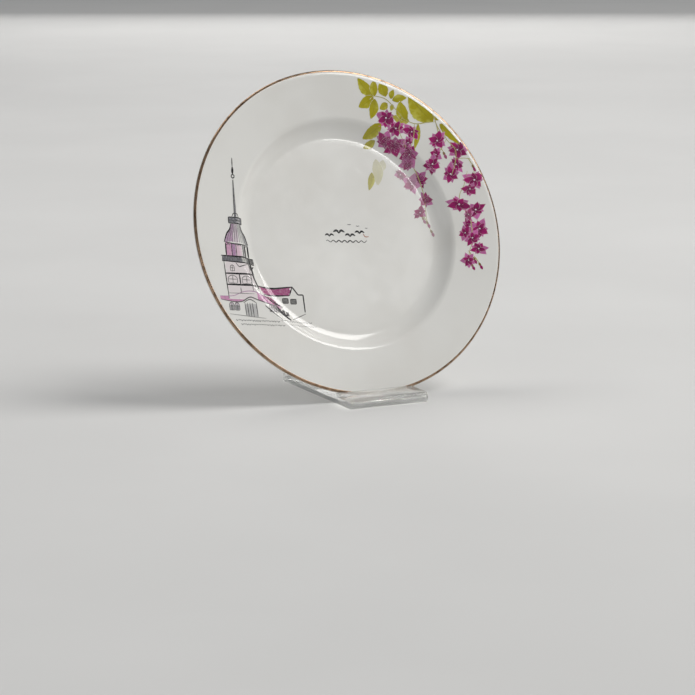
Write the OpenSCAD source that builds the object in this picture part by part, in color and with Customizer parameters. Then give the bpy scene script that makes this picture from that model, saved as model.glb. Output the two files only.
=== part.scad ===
// Souvenir plate on its stand: a round glazed porcelain plate with a gilded rim and fired
// transfers, leaning on a small stand made from two bent strips of clear acrylic sheet.
//
// Frame: millimetres. The plate faces -Y and leans back towards +Y, +Z is up, +X runs along the
// plate's width. The origin is the centre of the stand's underside, on the table.
// Everything is shown at rest: the plate stands on the base strip, behind its folded front.

/* [Plate] */
// Diameter over the rim
plate_d = 250; // [180:1:320]
// Width of the sloping rim, from its edge in to the shoulder of the well
rim_w = 34.5; // [22:0.5:46]
// Rise of the rim, from the shoulder out to its edge
rim_rise = 5.5; // [2:0.5:12]
// Width of the shoulder's rounded turn down into the well
shoulder_w = 4.5; // [3:0.5:12]
// Width of the hollow curve between the shoulder's turn and the edge of the well's floor
bowl_w = 12; // [8:0.5:18]
// Depth of the well, from the shoulder down to the middle of the floor
well_depth = 9.5; // [5:0.5:14]
// How much lower the middle of the well's floor is than its edge
floor_dish = 0.8; // [0.2:0.1:1.5]
// Thickness of the porcelain in the floor of the well
floor_t = 4.5; // [3:0.5:7]
// Thickness of the porcelain at the outer edge of the rim
edge_t = 3.6; // [2.6:0.1:5]
// Height of the foot ring, which is also the depth of the hollow inside it
foot_h = 3.5; // [1.5:0.5:6]
// Width of the foot ring's wall
foot_w = 5; // [3:0.5:9]
// How far the foot ring stands outside the edge of the well's floor
foot_out = 2; // [0:0.5:6]

/* [Decoration] */
// Width of the gilded band, seen from the front
gilding_w = 1.9; // [0.8:0.1:4]
// Thickness of the fired gold and of the transfers
film_t = 0.12; // [0.08:0.01:0.3]
// Plain edge left between the rim and the two outer transfers
plain_w = 3; // [2.5:0.5:10]
// Depth of the two outer transfers, from their outer edge in towards the well
transfer_w = 70; // [20:1:72]
// Angle of the tower transfer round the plate
tower_sweep = 100; // [30:1:110]
// Angle of the blossom transfer round the plate
blossom_sweep = 108; // [30:1:120]
// Diameter of the small motif in the middle of the well
motif_d = 40; // [16:1:70]

/* [Stand] */
// Thickness of the acrylic sheet
sheet_t = 3; // [2:0.5:5]
// Width of both strips
strip_w = 62; // [40:1:110]
// Length of the base strip on the table
base_l = 120; // [100:1:170]
// Gap between the two layers of the folded front
fold_gap = 2; // [1.5:0.1:4]
// Length of the front's upper layer, from the nose to its rear edge
return_l = 27; // [16:1:40]
// Lean of the back support from upright
back_lean = 5; // [0:0.5:12]
// Inside radius of the back support's bend
bend_r = 2.5; // [1:0.5:6]

/* [Fit] */
// Lean of the resting plate from upright
plate_lean = 22.4; // [16:0.1:30]
// Clearance at each place where the plate touches the stand
rest_gap = 0.3; // [0.2:0.05:0.6]
// How far above the plate's middle the back support's top edge meets it, along its back
prop_up = 15; // [-15:1:35]
// Distance of the plate's centreline from the stand's, along the width
plate_shift = 4; // [-20:1:20]

/* [Hidden] */
$fn = 120;
RIM_R = plate_d / 2;
EDGE_R = edge_t / 2;
EDGE_C = RIM_R - EDGE_R;            // radius at which the rounded edge has its centre
SHOULDER_R = RIM_R - rim_w;
BOWL_R = SHOULDER_R - shoulder_w;    // radius at which the wall is steepest
FLOOR_R = BOWL_R - bowl_w;
FOOT_R = FLOOR_R + foot_out;
FLOOR_Z = foot_h + floor_t;         // heights above the foot ring's underside
SHOULDER_Z = FLOOR_Z + well_depth;
RIM_Z = SHOULDER_Z + rim_rise;
RIM_SLOPE = rim_rise / (EDGE_C - SHOULDER_R);
FLOOR_SLOPE = 3 * floor_dish / FLOOR_R; // at the floor's edge
WALL_SLOPE = (2 * (well_depth - floor_dish) - bowl_w * FLOOR_SLOPE - shoulder_w * RIM_SLOPE)
           / (bowl_w + shoulder_w);
CURVE_STEPS = 12;                   // chords in each curved stretch of the plate's section
FOOT_ROUND = 1;
TRANSFER_R = RIM_R - plain_w;
TOWER_MID = 190;                    // middle of each outer transfer, turned from +X
BLOSSOM_MID = 28;

FOLD_R = sheet_t + fold_gap / 2;    // outside radius of the folded front
FOLD_H = 2 * FOLD_R;
NOSE_Y = -base_l / 2;
REAR_Y = base_l / 2;
STOP_Y = NOSE_Y + return_l;         // rear edge of the front's upper layer
BEND_OUT = bend_r + sheet_t;

// Where the middle of the foot ring's underside comes when the plate is at rest
SEAT_Y = STOP_Y + rest_gap + EDGE_R + EDGE_C * sin(plate_lean)
       + (RIM_Z - EDGE_R) * cos(plate_lean);
SEAT_Z = sheet_t + rest_gap + EDGE_R + EDGE_C * cos(plate_lean)
       - (RIM_Z - EDGE_R) * sin(plate_lean);

// Where the back support's top front corner meets the floor of the hollow in the plate's back
PROP_Y = SEAT_Y + prop_up * sin(plate_lean) - (foot_h - rest_gap) * cos(plate_lean);
PROP_Z = SEAT_Z + prop_up * cos(plate_lean) + (foot_h - rest_gap) * sin(plate_lean);

// Middle of the back support's bend, which lies on the base strip, and the straight length above it
BEND_Z = sheet_t + BEND_OUT;
REACH = (PROP_Z - BEND_Z - BEND_OUT * sin(back_lean)) / cos(back_lean);
BEND_Y = PROP_Y + BEND_OUT * cos(back_lean) - REACH * sin(back_lean);

PORCELAIN = [0.93, 0.93, 0.91];
GOLD = [0.80, 0.62, 0.32];
INK_LILAC = [0.80, 0.66, 0.80];
MAGENTA = [0.68, 0.16, 0.48];
INK_BLACK = [0.25, 0.24, 0.26];
ACRYLIC = [0.86, 0.92, 0.92, 0.45];

// Rise after the distance x along a curve of width w whose slope goes evenly from m0 to m1
function bend_rise(x, w, m0, m1) = m0 * x + (m1 - m0) * x * x / (2 * w);

// Height of a smooth step from z0 to z1 over the width w, level at its start and with the slope
// m at its end, at the share s of the way along
function step(s, z0, z1, w, m) =
    z0 + (z1 - z0) * (3 * s * s - 2 * s * s * s) + m * w * (s * s * s - s * s);

// Points of the well's front: its dished floor, its bowl curve and its shoulder's turn
function floor_points() =
    [for (i = [0 : CURVE_STEPS - 1])
        let (s = i / CURVE_STEPS)
        [FLOOR_R * s, FLOOR_Z + floor_dish * s * s * s]];
function bowl_points() =
    [for (i = [0 : CURVE_STEPS - 1])
        let (x = bowl_w * i / CURVE_STEPS)
        [FLOOR_R + x, FLOOR_Z + floor_dish + bend_rise(x, bowl_w, FLOOR_SLOPE, WALL_SLOPE)]];
function shoulder_points() =
    [for (i = [CURVE_STEPS : -1 : 0])
        let (x = shoulder_w * i / CURVE_STEPS)
        [SHOULDER_R - x, SHOULDER_Z - bend_rise(x, shoulder_w, RIM_SLOPE, WALL_SLOPE)]];

// Points round the outer edge of the rim, from its front to its back
function edge_points() =
    [for (i = [0 : CURVE_STEPS])
        let (a = 90 - 180 * i / CURVE_STEPS)
        [EDGE_C + EDGE_R * cos(a), RIM_Z - EDGE_R + EDGE_R * sin(a)]];

// Points of the plate's back, from under the shoulder in to the foot ring's outside
function back_points() =
    [for (i = [CURVE_STEPS : -1 : 0])
        let (s = i / CURVE_STEPS, w = SHOULDER_R + 2 - FOOT_R)
        [FOOT_R + w * s, step(s, foot_h + 0.5, SHOULDER_Z - floor_t, w, RIM_SLOPE)]];

// Points of the foot ring, from its outside in to the middle of the hollow
function foot_points() = [
    [FOOT_R, FOOT_ROUND], [FOOT_R - FOOT_ROUND * 0.3, FOOT_ROUND * 0.3],
    [FOOT_R - FOOT_ROUND, 0], [FOOT_R - foot_w + FOOT_ROUND, 0],
    [FOOT_R - foot_w + FOOT_ROUND * 0.3, FOOT_ROUND * 0.3], [FOOT_R - foot_w, FOOT_ROUND],
    [FOOT_R - foot_w, foot_h], [0, foot_h]];

// Half of the plate's section, from its axis outwards
module plate_section() {
    polygon(concat(floor_points(), bowl_points(), shoulder_points(), edge_points(),
                   back_points(), foot_points()));
}

// Section of a film fired on the front of the plate between two radii
module film_section(r0, r1) {
    intersection() {
        difference() {
            translate([0, film_t]) plate_section();
            plate_section();
        }
        translate([r0, FLOOR_Z - 1]) square([r1 - r0, RIM_Z]);
    }
}

// Puts a piece of the plate, drawn flat on its foot ring, where it rests on the stand
module seated() {
    translate([plate_shift, SEAT_Y, SEAT_Z]) rotate([90 - plate_lean, 0, 0]) children();
}

// A film that covers the angle sweep round the plate, centred on the direction mid
module film_patch(mid, sweep) {
    rotate([0, 0, mid - sweep / 2])
        rotate_extrude(angle = sweep) film_section(TRANSFER_R - transfer_w, TRANSFER_R);
}

module plate_body() {
    color(PORCELAIN) seated() rotate_extrude() plate_section();
}

module rim_gilding() {
    color(GOLD) seated() rotate_extrude() film_section(RIM_R - gilding_w, RIM_R - EDGE_R * 0.1);
}

module tower_transfer() {
    color(INK_LILAC) seated() film_patch(TOWER_MID, tower_sweep);
}

module blossom_transfer() {
    color(MAGENTA) seated() film_patch(BLOSSOM_MID, blossom_sweep);
}

module motif_transfer() {
    color(INK_BLACK) seated() rotate_extrude() film_section(0, motif_d / 2);
}

// Draws a strip's side view, given in Y and Z, as a sheet across the stand's width
module strip() {
    rotate([90, 0, 90]) translate([0, 0, -strip_w / 2]) linear_extrude(strip_w) children();
}

// One bend of a strip seen from the side: the ring between two radii, from the direction a0 to a1
module bend(r_in, r_out, a0, a1) {
    far = 3 * r_out;
    mid = (a0 + a1) / 2;
    intersection() {
        difference() {
            circle(r_out);
            circle(r_in);
        }
        polygon([[0, 0], far * [cos(a0), sin(a0)], far * [cos(mid), sin(mid)],
                 far * [cos(a1), sin(a1)]]);
    }
}

module stand_base() {
    color(ACRYLIC) strip() union() {
        translate([NOSE_Y + FOLD_R, 0]) square([base_l - FOLD_R, sheet_t]);
        translate([NOSE_Y + FOLD_R, FOLD_H - sheet_t]) square([return_l - FOLD_R, sheet_t]);
        translate([NOSE_Y + FOLD_R, FOLD_R]) bend(fold_gap / 2, FOLD_R, 90, 270);
    }
}

module stand_back() {
    color(ACRYLIC) strip() union() {
        translate([BEND_Y, sheet_t]) square([REAR_Y - BEND_Y, sheet_t]);
        translate([BEND_Y, BEND_Z]) {
            bend(bend_r, BEND_OUT, 180 - back_lean, 270);
            rotate([0, 0, -back_lean]) translate([-BEND_OUT, 0]) square([sheet_t, REACH]);
        }
    }
}

plate_body();
rim_gilding();
tower_transfer();
blossom_transfer();
motif_transfer();
stand_base();
stand_back();
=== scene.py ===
"""A gilded porcelain souvenir plate on its clear acrylic stand, dressed over its CAD frame.

The plate's pieces are drawn flat on its foot ring, about the Z axis, and then seated on the
stand. Transfers are drawn on the plane of the rim and laid onto the plate's front. Metres.
"""

import logging
import math
import random
from collections.abc import Callable, Iterable, Sequence
from dataclasses import dataclass, field
from enum import Enum

import bpy
from mathutils import Matrix, Vector


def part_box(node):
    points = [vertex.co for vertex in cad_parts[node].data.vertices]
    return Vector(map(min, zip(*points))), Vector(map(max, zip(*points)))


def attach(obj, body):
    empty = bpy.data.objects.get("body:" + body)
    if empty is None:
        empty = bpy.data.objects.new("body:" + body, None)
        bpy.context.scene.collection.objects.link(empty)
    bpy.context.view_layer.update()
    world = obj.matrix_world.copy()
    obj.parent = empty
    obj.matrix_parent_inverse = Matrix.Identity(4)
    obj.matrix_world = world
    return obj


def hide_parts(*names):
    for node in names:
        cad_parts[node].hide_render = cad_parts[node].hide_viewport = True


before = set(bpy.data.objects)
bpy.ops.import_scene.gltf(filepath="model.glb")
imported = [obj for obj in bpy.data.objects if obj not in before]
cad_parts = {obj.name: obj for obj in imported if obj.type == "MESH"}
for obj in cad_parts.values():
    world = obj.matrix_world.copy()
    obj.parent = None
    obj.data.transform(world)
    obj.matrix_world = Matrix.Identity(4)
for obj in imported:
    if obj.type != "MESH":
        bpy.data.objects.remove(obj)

logging.basicConfig(level=logging.INFO, format="%(name)s: %(message)s")
LOG = logging.getLogger("souvenir_plate")

MM = 0.001
MICRON = 0.000001
Point = tuple[float, float]
Place = tuple[float, float, float]
Colour = tuple[float, float, float]


# ---------------------------------------------------------------- small tools


def deselect() -> None:
    """Leaves edit mode and deselects everything."""
    if bpy.context.object and bpy.context.object.mode != "OBJECT":
        bpy.ops.object.mode_set(mode="OBJECT")
    bpy.ops.object.select_all(action="DESELECT")


def make_active(piece: bpy.types.Object) -> None:
    """Selects one object alone and makes it the active one."""
    deselect()
    piece.select_set(True)
    bpy.context.view_layer.objects.active = piece


def join(pieces: Sequence[bpy.types.Object], name: str) -> bpy.types.Object:
    """Joins several objects into one.

    Args:
        pieces: The objects, of which the first keeps its place.
        name: The joined object's name.

    Returns:
        The joined object.
    """
    deselect()
    for piece in pieces:
        piece.select_set(True)
    bpy.context.view_layer.objects.active = pieces[0]
    bpy.ops.object.join()
    joined = bpy.context.object
    joined.name = name
    joined.data.name = name
    return joined


def smooth(piece: bpy.types.Object, angle: float = 35.0) -> None:
    """Shades a piece smooth, with edges sharper than the angle, in degrees, left crisp."""
    make_active(piece)
    bpy.ops.object.shade_smooth_by_angle(angle=math.radians(angle))


def spin_section(name: str, section: Sequence[Point], steps: int) -> bpy.types.Object:
    """Spins a section about the Z axis, as a plate is turned on a wheel.

    Args:
        name: The piece's name.
        section: Radius and height of each point, in order. It starts and ends on the axis, or
            comes back to its first point.
        steps: Number of steps round the axis.

    Returns:
        The closed piece, with its faces outwards.
    """
    deselect()
    bpy.ops.mesh.primitive_plane_add(size=MM, location=(section[0][0], 0, section[0][1]))
    piece = bpy.context.object
    piece.name = name
    piece.data.name = name
    bpy.ops.object.transform_apply(location=True, rotation=True, scale=True)
    bpy.ops.object.mode_set(mode="EDIT")
    bpy.ops.mesh.merge(type="CENTER")
    for (r0, z0), (r1, z1) in zip(section, section[1:]):
        bpy.ops.mesh.extrude_region_move(
            TRANSFORM_OT_translate={"value": (r1 - r0, 0, z1 - z0)})
    bpy.ops.mesh.select_all(action="SELECT")
    bpy.ops.mesh.spin(steps=steps, angle=math.tau, center=(0, 0, 0), axis=(0, 0, 1))
    bpy.ops.mesh.select_all(action="SELECT")
    bpy.ops.mesh.remove_doubles(threshold=2 * MICRON)
    bpy.ops.mesh.normals_make_consistent(inside=False)
    bpy.ops.object.mode_set(mode="OBJECT")
    return piece


def along(path: Sequence[Point], share: float) -> Point:
    """The point at a share of the length of a path of straight stretches."""
    lengths = [math.dist(a, b) for a, b in zip(path, path[1:])]
    left = share * sum(lengths)
    for (a, b), length in zip(zip(path, path[1:]), lengths):
        if left <= length or b is path[-1]:
            t = min(left / length, 1.0) if length else 0.0
            return (a[0] + (b[0] - a[0]) * t, a[1] + (b[1] - a[1]) * t)
        left -= length
    return path[-1]


def curve(points: Sequence[Point], steps: int = 8) -> list[Point]:
    """Runs a smooth curve through a few points.

    Args:
        points: The points that the curve goes through.
        steps: Straight stretches between each two of them.

    Returns:
        The curve's points.
    """
    ends = [points[0], *points, points[-1]]
    out = []
    for a, b, c, d in zip(ends, ends[1:], ends[2:], ends[3:]):
        for i in range(steps):
            t = i / steps
            out.append(tuple(
                0.5 * (2 * q + (r - p) * t + (2 * p - 5 * q + 4 * r - s) * t * t
                       + (3 * q - p - 3 * r + s) * t ** 3)
                for p, q, r, s in zip(a, b, c, d)))
    return [*out, points[-1]]


# ---------------------------------------------------------------- the plate's shape


@dataclass(frozen=True)
class PlateShape:
    """The plate's section and its place, as the CAD has them.

    Heights are above the foot ring's underside, along the plate's axis. The back's curve starts
    at the foot ring, back_lift above the hollow inside it, and ends back_reach outside the
    shoulder.
    """

    rim_radius: float = 125 * MM
    rim_width: float = 34.5 * MM
    rim_rise: float = 5.5 * MM
    shoulder_width: float = 4.5 * MM
    bowl_width: float = 12 * MM
    well_depth: float = 9.5 * MM
    floor_dish: float = 0.8 * MM
    floor_thickness: float = 4.5 * MM
    edge_thickness: float = 3.6 * MM
    foot_height: float = 3.5 * MM
    foot_width: float = 5 * MM
    foot_out: float = 2 * MM
    foot_round: float = 1 * MM
    foot_fillet: float = 0.4 * MM
    back_reach: float = 2 * MM
    back_lift: float = 0.5 * MM
    lean: float = math.radians(22.4)

    @property
    def edge_round(self) -> float:
        """Radius of the rim's rounded edge."""
        return self.edge_thickness / 2

    @property
    def edge_centre(self) -> float:
        """Distance from the axis to the middle of the rounded edge."""
        return self.rim_radius - self.edge_round

    @property
    def shoulder_radius(self) -> float:
        """Radius at which the rim turns down into the well."""
        return self.rim_radius - self.rim_width

    @property
    def bowl_radius(self) -> float:
        """Radius at which the bowl's hollow curve turns over into the shoulder."""
        return self.shoulder_radius - self.shoulder_width

    @property
    def floor_radius(self) -> float:
        """Radius of the well's slightly dished floor."""
        return self.bowl_radius - self.bowl_width

    @property
    def foot_radius(self) -> float:
        """Outside radius of the foot ring."""
        return self.floor_radius + self.foot_out

    @property
    def floor_height(self) -> float:
        """Height of the well's floor."""
        return self.foot_height + self.floor_thickness

    @property
    def shoulder_height(self) -> float:
        """Height of the shoulder."""
        return self.floor_height + self.well_depth

    @property
    def rim_height(self) -> float:
        """Height of the rim's top."""
        return self.shoulder_height + self.rim_rise

    @property
    def rim_slope(self) -> float:
        """Rise of the rim for each unit outwards."""
        return self.rim_rise / (self.edge_centre - self.shoulder_radius)

    @property
    def floor_slope(self) -> float:
        """Rise of the dished floor at its edge, for each unit outwards."""
        return 3 * self.floor_dish / self.floor_radius

    @property
    def wall_slope(self) -> float:
        """Rise of the wall where it is steepest, between the bowl's curve and the shoulder."""
        return (2 * (self.well_depth - self.floor_dish)
                - self.bowl_width * self.floor_slope - self.shoulder_width * self.rim_slope
                ) / (self.bowl_width + self.shoulder_width)

    @staticmethod
    def bend(run: float, width: float, first: float, last: float) -> float:
        """Rise along a curve whose slope changes evenly.

        Args:
            run: Distance from the curve's start.
            width: The curve's whole width.
            first: Slope at its start.
            last: Slope at its end.

        Returns:
            The rise at that distance.
        """
        return first * run + (last - first) * run ** 2 / (2 * width)

    def step(self, share: float, low: float, high: float, width: float) -> float:
        """Height of a smooth step that starts level and ends with the rim's slope.

        Args:
            share: How far along the step, from 0 to 1.
            low: Height at its start.
            high: Height at its end.
            width: Its width.

        Returns:
            The height at that share.
        """
        rise = (high - low) * (3 * share ** 2 - 2 * share ** 3)
        return low + rise + self.rim_slope * width * (share ** 3 - share ** 2)

    def front(self, radius: float) -> float:
        """Height of the plate's front at a radius."""
        if radius <= self.floor_radius:
            return self.floor_height + self.floor_dish * (radius / self.floor_radius) ** 3
        if radius < self.bowl_radius:
            return self.floor_height + self.floor_dish + self.bend(
                radius - self.floor_radius, self.bowl_width, self.floor_slope, self.wall_slope)
        if radius < self.shoulder_radius:
            return self.shoulder_height - self.bend(
                self.shoulder_radius - radius, self.shoulder_width, self.rim_slope,
                self.wall_slope)
        if radius <= self.edge_centre:
            return self.shoulder_height + (radius - self.shoulder_radius) * self.rim_slope
        over = min(radius - self.edge_centre, self.edge_round)
        return self.rim_height - self.edge_round + math.sqrt(self.edge_round ** 2 - over ** 2)

    def section(self) -> list[Point]:
        """The plate's half section, from the middle of its front round to that of its back."""
        floor = [self.floor_radius * i / 24 for i in range(24)]
        bowl = [self.floor_radius + self.bowl_width * i / 20 for i in range(20)]
        turn_over = [self.bowl_radius + self.shoulder_width * i / 12 for i in range(12)]
        rim = [self.shoulder_radius + (self.edge_centre - self.shoulder_radius) * i / 14
               for i in range(14)]
        edge = [(self.edge_centre + self.edge_round * math.cos(turn),
                 self.rim_height - self.edge_round + self.edge_round * math.sin(turn))
                for turn in (math.pi / 2 - math.pi * i / 16 for i in range(17))]
        back_width = self.shoulder_radius + self.back_reach - self.foot_radius
        back = [(self.foot_radius + back_width * i / 18,
                 self.step(i / 18, self.foot_height + self.back_lift,
                           self.shoulder_height - self.floor_thickness, back_width))
                for i in range(18, -1, -1)]
        inner, round_ = self.foot_radius - self.foot_width, self.foot_round
        corner, hollow_radius = 0.3 * round_, inner - self.foot_fillet
        foot = [(self.foot_radius, round_), (self.foot_radius - corner, corner),
                (self.foot_radius - round_, 0.0), (inner + round_, 0.0),
                (inner + corner, corner), (inner, round_),
                (inner, self.foot_height - self.foot_fillet),
                (hollow_radius, self.foot_height)]
        hollow = [(hollow_radius * (1 - i / 6), self.foot_height) for i in range(1, 7)]
        front = [(radius, self.front(radius)) for radius in (*floor, *bowl, *turn_over, *rim)]
        return [*front, *edge, *back, *foot, *hollow]

    def seat(self) -> Matrix:
        """Where the plate, drawn flat on its foot ring, rests on the stand."""
        low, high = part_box("plate_body")
        sin, cos = math.sin(self.lean), math.cos(self.lean)
        up = self.rim_height - self.edge_round
        place = Vector((
            (low[0] + high[0]) / 2,
            low[1] + self.edge_round + self.edge_centre * sin + up * cos,
            low[2] + self.edge_round + self.edge_centre * cos - up * sin))
        return Matrix.Translation(place) @ Matrix.Rotation(math.pi / 2 - self.lean, 4, "X")

    def put_in_place(self, piece: bpy.types.Object) -> None:
        """Seats a piece of the plate on the stand, with its place in its mesh."""
        make_active(piece)
        piece.matrix_world = self.seat()
        bpy.ops.object.transform_apply(location=True, rotation=True, scale=True)

    def lay_on_front(self, piece: bpy.types.Object) -> None:
        """Lays a flat film on the plate's front: its heights are kept above the glaze."""
        for vertex in piece.data.vertices:
            vertex.co.z += self.front(math.hypot(vertex.co.x, vertex.co.y))


# ---------------------------------------------------------------- finishes


class Graph:
    """The nodes of one material or node group, with short calls to add and join them."""

    def __init__(self, tree: bpy.types.NodeTree) -> None:
        """Starts on an empty tree."""
        self.tree = tree
        self.count = 0

    def add(self, kind: str, **inputs: object) -> bpy.types.Node:
        """Adds a node.

        Args:
            kind: The node's type, such as "ShaderNodeMath".
            **inputs: Its properties by name, and its input values or sockets to join by
                socket name, with a space written as an underscore, or in_0, in_1 by place.

        Returns:
            The node.
        """
        node = self.tree.nodes.new(kind)
        node.location = (self.count % 6 * 220, -(self.count // 6) * 260)
        self.count += 1
        for name, value in inputs.items():
            if name.startswith("in_"):
                self.feed(node.inputs[int(name[3:])], value)
            elif name in node.bl_rna.properties:
                setattr(node, name, value)
            else:
                self.feed(node.inputs[name.replace("_", " ")], value)
        return node

    def feed(self, socket: bpy.types.NodeSocket, value: object) -> None:
        """Joins a socket to another, or sets its value."""
        if isinstance(value, bpy.types.NodeSocket):
            self.tree.links.new(value, socket)
        else:
            socket.default_value = value

    def noise(self, vector: bpy.types.NodeSocket, scale: float, detail: float = 3.0,
              roughness: float = 0.5) -> bpy.types.NodeSocket:
        """A noise value from 0 to 1 over a vector.

        Args:
            vector: The coordinates.
            scale: Noise cells for each metre or unit.
            detail: Octaves.
            roughness: Share of each finer octave.

        Returns:
            The value's socket.
        """
        return self.add("ShaderNodeTexNoise", Vector=vector, Scale=scale, Detail=detail,
                        Roughness=roughness).outputs[0]

    def math(self, operation: str, *values: object, clamp: bool = False
             ) -> bpy.types.NodeSocket:
        """The result of one sum on values or sockets."""
        node = self.add("ShaderNodeMath", operation=operation, use_clamp=clamp)
        for socket, value in zip(node.inputs, values):
            self.feed(socket, value)
        return node.outputs[0]

    def remap(self, value: object, low: float, high: float, to_low: float = 0.0,
              to_high: float = 1.0) -> bpy.types.NodeSocket:
        """A value moved smoothly from one range into another, and held inside it."""
        node = self.add("ShaderNodeMapRange", interpolation_type="SMOOTHSTEP")
        for socket, item in zip(node.inputs, (value, low, high, to_low, to_high)):
            self.feed(socket, item)
        return node.outputs[0]

    def mix(self, factor: object, first: object, second: object,
            blend: str = "MIX") -> bpy.types.NodeSocket:
        """Two colours mixed.

        Args:
            factor: Share of the second colour.
            first: A colour or a socket.
            second: A colour or a socket.
            blend: How the second goes over the first.

        Returns:
            The colour's socket.
        """
        node = self.add("ShaderNodeMix", data_type="RGBA", blend_type=blend)
        self.feed(node.inputs[0], factor)
        for index, colour in ((6, first), (7, second)):
            if not isinstance(colour, bpy.types.NodeSocket):
                colour = (*colour, 1.0)
            self.feed(node.inputs[index], colour)
        return node.outputs[2]


def new_group(name: str, inputs: dict[str, float | str], outputs: Sequence[str]
              ) -> tuple[bpy.types.NodeTree, Graph, bpy.types.Node, bpy.types.Node]:
    """Starts a shader node group with named sockets.

    Args:
        name: The group's name.
        inputs: Each input's starting value, or "vector".
        outputs: The names of the values that it puts out.

    Returns:
        The group, its graph, and its input and output nodes.
    """
    tree = bpy.data.node_groups.new(name, "ShaderNodeTree")
    for socket_name, value in inputs.items():
        kind = "NodeSocketVector" if value == "vector" else "NodeSocketFloat"
        socket = tree.interface.new_socket(socket_name, in_out="INPUT", socket_type=kind)
        if value != "vector":
            socket.default_value = value
    for socket_name in outputs:
        tree.interface.new_socket(socket_name, in_out="OUTPUT", socket_type="NodeSocketFloat")
    graph = Graph(tree)
    return (tree, graph, graph.add("NodeGroupInput"), graph.add("NodeGroupOutput"))


def glaze_ripple_group() -> bpy.types.NodeTree:
    """The slow swell and fine orange peel of a fired glaze, and its small changes of gloss."""
    tree, graph, given, result = new_group(
        "Glaze Ripple", {"Vector": "vector", "Swell Scale": 45.0, "Peel Scale": 900.0,
                         "Peel Share": 0.12, "Gloss Low": 0.07, "Gloss High": 0.12},
        ("Height", "Roughness"))
    swell = graph.noise(given.outputs["Vector"], given.outputs["Swell Scale"], 1.0)
    peel = graph.noise(given.outputs["Vector"], given.outputs["Peel Scale"], 2.0)
    height = graph.math("ADD", swell, graph.math("MULTIPLY", peel,
                                                 given.outputs["Peel Share"]))
    gloss = graph.remap(graph.noise(given.outputs["Vector"], 120.0, 4.0), 0.35, 0.7,
                        given.outputs["Gloss Low"], given.outputs["Gloss High"])
    graph.feed(result.inputs["Height"], height)
    graph.feed(result.inputs["Roughness"], gloss)
    return tree


def watercolour_group() -> bpy.types.NodeTree:
    """How thickly a fired watercolour lies: grainy pools, and edges that fade."""
    tree, graph, given, result = new_group(
        "Fired Watercolour", {"Vector": "vector", "U": 0.5, "V": 0.5, "Grain Scale": 700.0,
                              "Grain": 0.35, "Fade": 0.2, "Tip Fade": 0.2},
        ("Cover", "Pool"))
    warp = graph.noise(given.outputs["Vector"], 420.0, 2.0)
    side = graph.math("MULTIPLY", graph.math("ABSOLUTE", graph.math(
        "SUBTRACT", given.outputs["U"], 0.5)), 2.0)
    side = graph.math("ADD", side, graph.math("MULTIPLY", graph.math(
        "SUBTRACT", warp, 0.5), 0.35))
    edge = graph.remap(side, graph.math("SUBTRACT", 1.0, given.outputs["Fade"]), 1.0, 1.0, 0.0)
    tip = graph.remap(graph.math("ADD", given.outputs["V"], graph.math(
        "MULTIPLY", graph.math("SUBTRACT", warp, 0.5), 0.2)),
        graph.math("SUBTRACT", 1.0, given.outputs["Tip Fade"]), 1.0, 1.0, 0.0)
    grain = graph.remap(graph.noise(given.outputs["Vector"], given.outputs["Grain Scale"], 4.0,
                                    0.65), 0.32, 0.68)
    thin = graph.math("MULTIPLY", graph.math("SUBTRACT", 1.0, grain), given.outputs["Grain"])
    cover = graph.math("MULTIPLY", graph.math("MULTIPLY", edge, tip),
                       graph.math("SUBTRACT", 1.0, thin), clamp=True)
    pool = graph.remap(graph.noise(given.outputs["Vector"], 260.0, 3.0), 0.4, 0.65)
    graph.feed(result.inputs["Cover"], cover)
    graph.feed(result.inputs["Pool"], pool)
    return tree


@dataclass
class Palette:
    """The node groups that the finishes share, built once."""

    ripple: bpy.types.NodeTree = field(default_factory=glaze_ripple_group)
    watercolour: bpy.types.NodeTree = field(default_factory=watercolour_group)


PORCELAIN_WHITE: Colour = (0.825, 0.82, 0.79)
POOLED: Colour = (0.42, 0.40, 0.42)
POOLED_WASH: Colour = (0.78, 0.74, 0.80)
SUNLIT_LEAF: Colour = (0.62, 0.60, 0.10)
PIGMENT_STRENGTH = 1.9
GLAZE_IOR = 1.52


def start_material(name: str, view: Colour) -> tuple[bpy.types.Material, Graph,
                                                     bpy.types.Node]:
    """Starts a material with a Principled shader on its output.

    Args:
        name: The material's name.
        view: Its plain colour.

    Returns:
        The material, its graph and its shader.
    """
    material = bpy.data.materials.new(name)
    material.use_nodes = True
    material.node_tree.nodes.clear()
    material.diffuse_color = (*view, 1.0)
    graph = Graph(material.node_tree)
    shader = graph.add("ShaderNodeBsdfPrincipled")
    graph.add("ShaderNodeOutputMaterial", Surface=shader.outputs[0])
    return material, graph, shader


def add_glaze(graph: Graph, shader: bpy.types.Node, palette: Palette,
              strength: float = 0.05) -> bpy.types.NodeSocket:
    """Gives a shader the gloss and ripple of the fired glaze.

    Args:
        graph: The material's graph.
        shader: Its Principled shader.
        palette: The shared groups.
        strength: Depth of the ripple.

    Returns:
        The object coordinates' socket, for the colour to use too.
    """
    place = graph.add("ShaderNodeTexCoord").outputs["Object"]
    ripple = graph.add("ShaderNodeGroup", node_tree=palette.ripple, Vector=place)
    bump = graph.add("ShaderNodeBump", Strength=strength, Distance=0.4 * MM,
                     Height=ripple.outputs["Height"])
    graph.feed(shader.inputs["Normal"], bump.outputs[0])
    graph.feed(shader.inputs["Roughness"], ripple.outputs["Roughness"])
    shader.inputs["IOR"].default_value = GLAZE_IOR
    return place


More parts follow.
